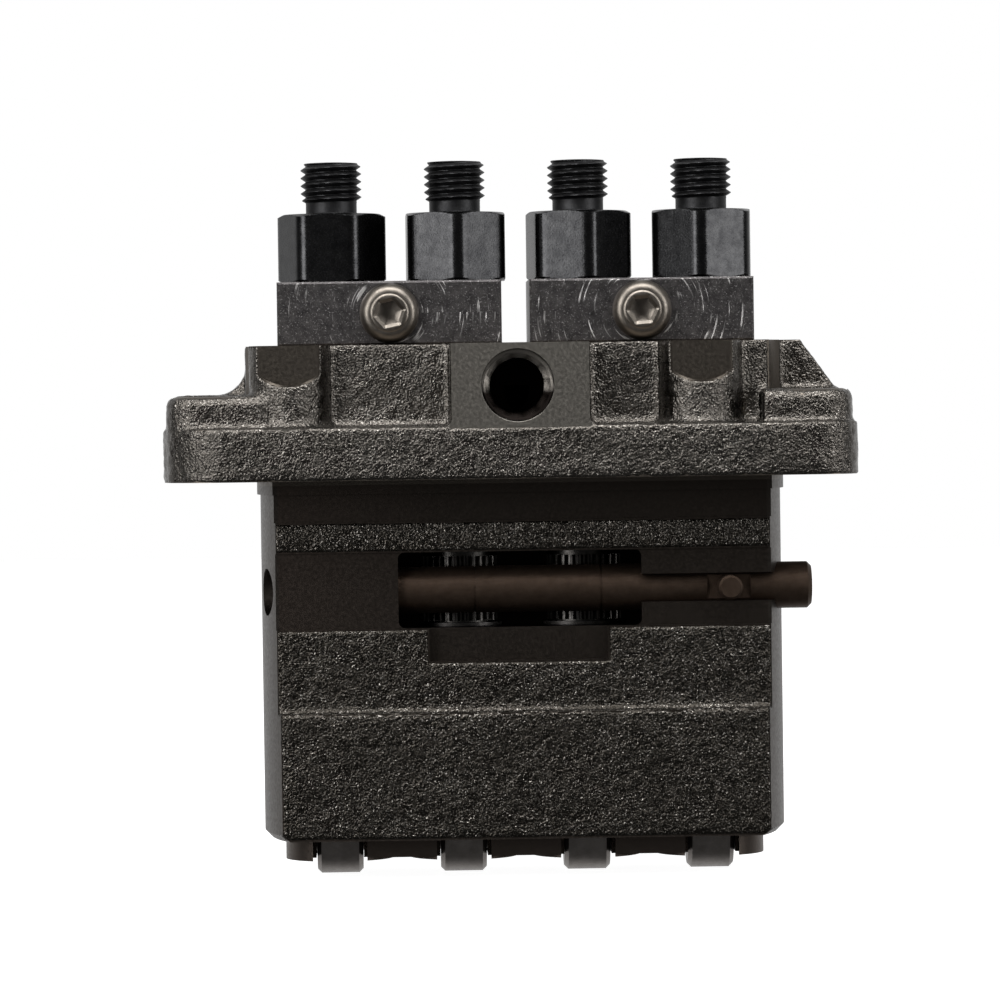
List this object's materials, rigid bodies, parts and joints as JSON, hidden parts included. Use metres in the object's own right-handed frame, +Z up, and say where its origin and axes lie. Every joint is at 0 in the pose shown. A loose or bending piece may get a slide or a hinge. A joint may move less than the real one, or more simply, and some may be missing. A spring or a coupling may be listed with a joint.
{
  "type": "diesel injection pump",
  "caption": "Flange-mounted diesel injection pump with four roller tappets in line, a toothed control rod, threaded outlets held by split clamps, and a tapped fuel inlet.",
  "frame": {"origin": "on the underside of the flange, on the axis of the turned register, half-way between elements 2 and 3", "axes": "+X along the row of elements towards the free end of the control rod, -Y towards the side with the fuel inlet and the rack window, +Z up towards the outlets"},
  "size_m": [0.1323, 0.06, 0.1382],
  "materials": {
    "cast_body": "dark oiled sand casting with milled and bored faces",
    "black_oxide_steel": "black oxide with pale scratches on the flats",
    "clamp_steel": "ground, dark blue-grey, scuffed",
    "stainless_screw": "bright turned steel",
    "rack_steel": "brown-black oil-hardened",
    "sleeve_steel": "hobbed steel",
    "hardened_steel": "lapped",
    "spring_steel": "oil-tempered wire",
    "spring_seat_steel": "pressed steel",
    "tappet_steel": "phosphated and honed",
    "roller_steel": "ground, faintly brown",
    "copper_gasket": "soft copper",
    "seal_rubber": "nitrile rubber",
    "black_plug": "black oxide"
  },
  "bodies": {
    "root": {"pump_housing": "cast_body", "delivery_holder_1": "black_oxide_steel", "delivery_holder_2": "black_oxide_steel", "delivery_holder_3": "black_oxide_steel", "delivery_holder_4": "black_oxide_steel", "holder_o_rings": "seal_rubber", "valve_gaskets": "copper_gasket", "valve_seats": "hardened_steel", "plunger_barrels": "hardened_steel", "barrel_dowels": "hardened_steel", "upper_spring_seats": "spring_seat_steel", "tappet_guide_pins": "hardened_steel", "clamp_jaw_front_1": "clamp_steel", "clamp_jaw_front_2": "clamp_steel", "clamp_jaw_rear_1": "clamp_steel", "clamp_jaw_rear_2": "clamp_steel", "clamp_screws": "stainless_screw", "gallery_plug": "black_plug"},
    "rack": {"control_rack": "rack_steel", "rack_pin": "rack_steel"},
    "sleeve_1": {"control_sleeve_1": "sleeve_steel"},
    "plunger_1": {"plunger_1": "hardened_steel"},
    "tappet_1": {"tappet_body_1": "tappet_steel", "roller_pin_1": "roller_steel", "tappet_shim_1": "hardened_steel", "lower_spring_seat_1": "spring_seat_steel", "plunger_spring_1": "spring_steel"},
    "roller_1": {"tappet_roller_1": "roller_steel"},
    "valve_1": {"delivery_valve_1": "hardened_steel", "delivery_spring_1": "spring_steel"},
    "sleeve_2": {"control_sleeve_2": "sleeve_steel"},
    "plunger_2": {"plunger_2": "hardened_steel"},
    "tappet_2": {"tappet_body_2": "tappet_steel", "roller_pin_2": "roller_steel", "tappet_shim_2": "hardened_steel", "lower_spring_seat_2": "spring_seat_steel", "plunger_spring_2": "spring_steel"},
    "roller_2": {"tappet_roller_2": "roller_steel"},
    "valve_2": {"delivery_valve_2": "hardened_steel", "delivery_spring_2": "spring_steel"},
    "sleeve_3": {"control_sleeve_3": "sleeve_steel"},
    "plunger_3": {"plunger_3": "hardened_steel"},
    "tappet_3": {"tappet_body_3": "tappet_steel", "roller_pin_3": "roller_steel", "tappet_shim_3": "hardened_steel", "lower_spring_seat_3": "spring_seat_steel", "plunger_spring_3": "spring_steel"},
    "roller_3": {"tappet_roller_3": "roller_steel"},
    "valve_3": {"delivery_valve_3": "hardened_steel", "delivery_spring_3": "spring_steel"},
    "sleeve_4": {"control_sleeve_4": "sleeve_steel"},
    "plunger_4": {"plunger_4": "hardened_steel"},
    "tappet_4": {"tappet_body_4": "tappet_steel", "roller_pin_4": "roller_steel", "tappet_shim_4": "hardened_steel", "lower_spring_seat_4": "spring_seat_steel", "plunger_spring_4": "spring_steel"},
    "roller_4": {"tappet_roller_4": "roller_steel"},
    "valve_4": {"delivery_valve_4": "hardened_steel", "delivery_spring_4": "spring_steel"}
  },
  "joints": [
    {"name": "rack_slide", "type": "slide", "parent": "root", "child": "rack", "axis": [1, 0, 0], "range_m": [-0.007, 0.007]},
    {"name": "sleeve_turn_1", "type": "hinge", "parent": "root", "child": "sleeve_1", "pos_m": [-0.036, 0, -0.0215], "axis": [0, 0, 1], "range_deg": [-51, 51]},
    {"name": "tappet_lift_1", "type": "slide", "parent": "root", "child": "tappet_1", "axis": [0, 0, 1], "range_m": [0, 0.007], "stiffness_N_per_m": 8000, "springref_m": -0.004, "deforming": ["plunger_spring_1"]},
    {"name": "plunger_lift_1", "type": "slide", "parent": "sleeve_1", "child": "plunger_1", "axis": [0, 0, 1], "range_m": [0, 0.007]},
    {"name": "roller_spin_1", "type": "hinge", "parent": "tappet_1", "child": "roller_1", "pos_m": [-0.036, 0, -0.0693], "axis": [1, 0, 0], "continuous": true},
    {"name": "valve_lift_1", "type": "slide", "parent": "root", "child": "valve_1", "axis": [0, 0, 1], "range_m": [0, 0.002], "stiffness_N_per_m": 1500, "springref_m": -0.004, "deforming": ["delivery_spring_1"]},
    {"name": "sleeve_turn_2", "type": "hinge", "parent": "root", "child": "sleeve_2", "pos_m": [-0.012, 0, -0.0215], "axis": [0, 0, 1], "range_deg": [-51, 51]},
    {"name": "tappet_lift_2", "type": "slide", "parent": "root", "child": "tappet_2", "axis": [0, 0, 1], "range_m": [0, 0.007], "stiffness_N_per_m": 8000, "springref_m": -0.004, "deforming": ["plunger_spring_2"]},
    {"name": "plunger_lift_2", "type": "slide", "parent": "sleeve_2", "child": "plunger_2", "axis": [0, 0, 1], "range_m": [0, 0.007]},
    {"name": "roller_spin_2", "type": "hinge", "parent": "tappet_2", "child": "roller_2", "pos_m": [-0.012, 0, -0.0693], "axis": [1, 0, 0], "continuous": true},
    {"name": "valve_lift_2", "type": "slide", "parent": "root", "child": "valve_2", "axis": [0, 0, 1], "range_m": [0, 0.002], "stiffness_N_per_m": 1500, "springref_m": -0.004, "deforming": ["delivery_spring_2"]},
    {"name": "sleeve_turn_3", "type": "hinge", "parent": "root", "child": "sleeve_3", "pos_m": [0.012, 0, -0.0215], "axis": [0, 0, 1], "range_deg": [-51, 51]},
    {"name": "tappet_lift_3", "type": "slide", "parent": "root", "child": "tappet_3", "axis": [0, 0, 1], "range_m": [0, 0.007], "stiffness_N_per_m": 8000, "springref_m": -0.004, "deforming": ["plunger_spring_3"]},
    {"name": "plunger_lift_3", "type": "slide", "parent": "sleeve_3", "child": "plunger_3", "axis": [0, 0, 1], "range_m": [0, 0.007]},
    {"name": "roller_spin_3", "type": "hinge", "parent": "tappet_3", "child": "roller_3", "pos_m": [0.012, 0, -0.0693], "axis": [1, 0, 0], "continuous": true},
    {"name": "valve_lift_3", "type": "slide", "parent": "root", "child": "valve_3", "axis": [0, 0, 1], "range_m": [0, 0.002], "stiffness_N_per_m": 1500, "springref_m": -0.004, "deforming": ["delivery_spring_3"]},
    {"name": "sleeve_turn_4", "type": "hinge", "parent": "root", "child": "sleeve_4", "pos_m": [0.036, 0, -0.0215], "axis": [0, 0, 1], "range_deg": [-51, 51]},
    {"name": "tappet_lift_4", "type": "slide", "parent": "root", "child": "tappet_4", "axis": [0, 0, 1], "range_m": [0, 0.007], "stiffness_N_per_m": 8000, "springref_m": -0.004, "deforming": ["plunger_spring_4"]},
    {"name": "plunger_lift_4", "type": "slide", "parent": "sleeve_4", "child": "plunger_4", "axis": [0, 0, 1], "range_m": [0, 0.007]},
    {"name": "roller_spin_4", "type": "hinge", "parent": "tappet_4", "child": "roller_4", "pos_m": [0.036, 0, -0.0693], "axis": [1, 0, 0], "continuous": true},
    {"name": "valve_lift_4", "type": "slide", "parent": "root", "child": "valve_4", "axis": [0, 0, 1], "range_m": [0, 0.002], "stiffness_N_per_m": 1500, "springref_m": -0.004, "deforming": ["delivery_spring_4"]}
  ],
  "couplings": [
    {"joint": "sleeve_turn_1", "follows": "rack_slide", "rad_per_m": 125},
    {"joint": "plunger_lift_1", "follows": "tappet_lift_1", "ratio": 1},
    {"joint": "sleeve_turn_2", "follows": "rack_slide", "rad_per_m": 125},
    {"joint": "plunger_lift_2", "follows": "tappet_lift_2", "ratio": 1},
    {"joint": "sleeve_turn_3", "follows": "rack_slide", "rad_per_m": 125},
    {"joint": "plunger_lift_3", "follows": "tappet_lift_3", "ratio": 1},
    {"joint": "sleeve_turn_4", "follows": "rack_slide", "rad_per_m": 125},
    {"joint": "plunger_lift_4", "follows": "tappet_lift_4", "ratio": 1}
  ]
}
